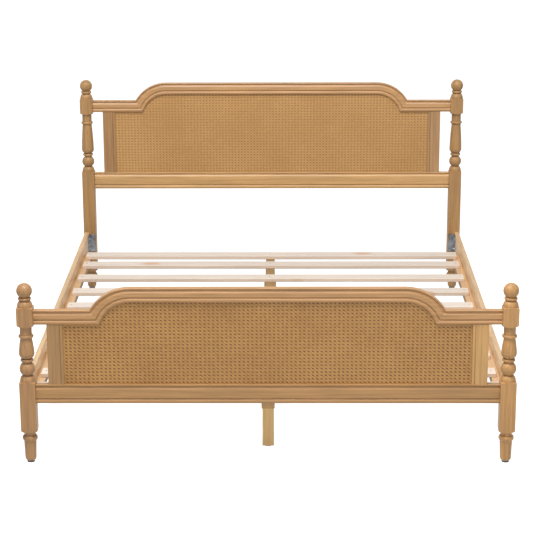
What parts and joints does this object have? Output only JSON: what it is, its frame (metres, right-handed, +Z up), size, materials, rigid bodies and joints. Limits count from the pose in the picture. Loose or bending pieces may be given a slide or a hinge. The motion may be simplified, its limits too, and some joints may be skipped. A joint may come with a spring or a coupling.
{
  "type": "rattan bed frame",
  "caption": "Queen bed frame in light wood with turned posts, arched moulded head and foot boards with woven cane panels, side rails, slats and a centre beam.",
  "frame": {"origin": "on the floor, at the middle of the four posts", "axes": "+Z up, +Y from the footboard to the headboard, +X to the right for someone who stands at the foot of the bed and looks at it"},
  "size_m": [1.612, 2.142, 0.908],
  "materials": {
    "frame_wood": "clear satin lacquer over golden tan hardwood",
    "light_wood": "sanded, unstained",
    "pine": "planed pale softwood, untreated",
    "cane": "natural woven cane, satin",
    "backing": "thin board behind the cane, matt",
    "steel": "zinc plated",
    "glide": "moulded"
  },
  "bodies": {
    "root": {"beam_joint_plate": "steel", "beam_plate_screws": "steel", "bracket_bolts": "steel", "bracket_rail_screws": "steel", "centre_beam_front": "light_wood", "centre_beam_rear": "light_wood", "centre_leg_front": "light_wood", "centre_leg_middle": "light_wood", "centre_leg_rear": "light_wood", "footboard_backing": "backing", "footboard_bracket_left": "steel", "footboard_bracket_right": "steel", "footboard_cane": "cane", "footboard_lower_rail": "frame_wood", "footboard_post_left": "frame_wood", "footboard_post_right": "frame_wood", "footboard_stile_left": "frame_wood", "footboard_stile_right": "frame_wood", "footboard_top_rail": "frame_wood", "headboard_backing": "backing", "headboard_bracket_left": "steel", "headboard_bracket_right": "steel", "headboard_cane": "cane", "headboard_lower_rail": "frame_wood", "headboard_post_left": "frame_wood", "headboard_post_right": "frame_wood", "headboard_stile_left": "frame_wood", "headboard_stile_right": "frame_wood", "headboard_top_rail": "frame_wood", "ledger_left": "light_wood", "ledger_right": "light_wood", "leg_bolts": "steel", "leg_glides": "glide", "post_glides": "glide", "post_inserts": "steel", "side_rail_left": "frame_wood", "side_rail_right": "frame_wood", "slat_1": "pine", "slat_10": "pine", "slat_2": "pine", "slat_3": "pine", "slat_4": "pine", "slat_5": "pine", "slat_6": "pine", "slat_7": "pine", "slat_8": "pine", "slat_9": "pine"}
  },
  "joints": []
}
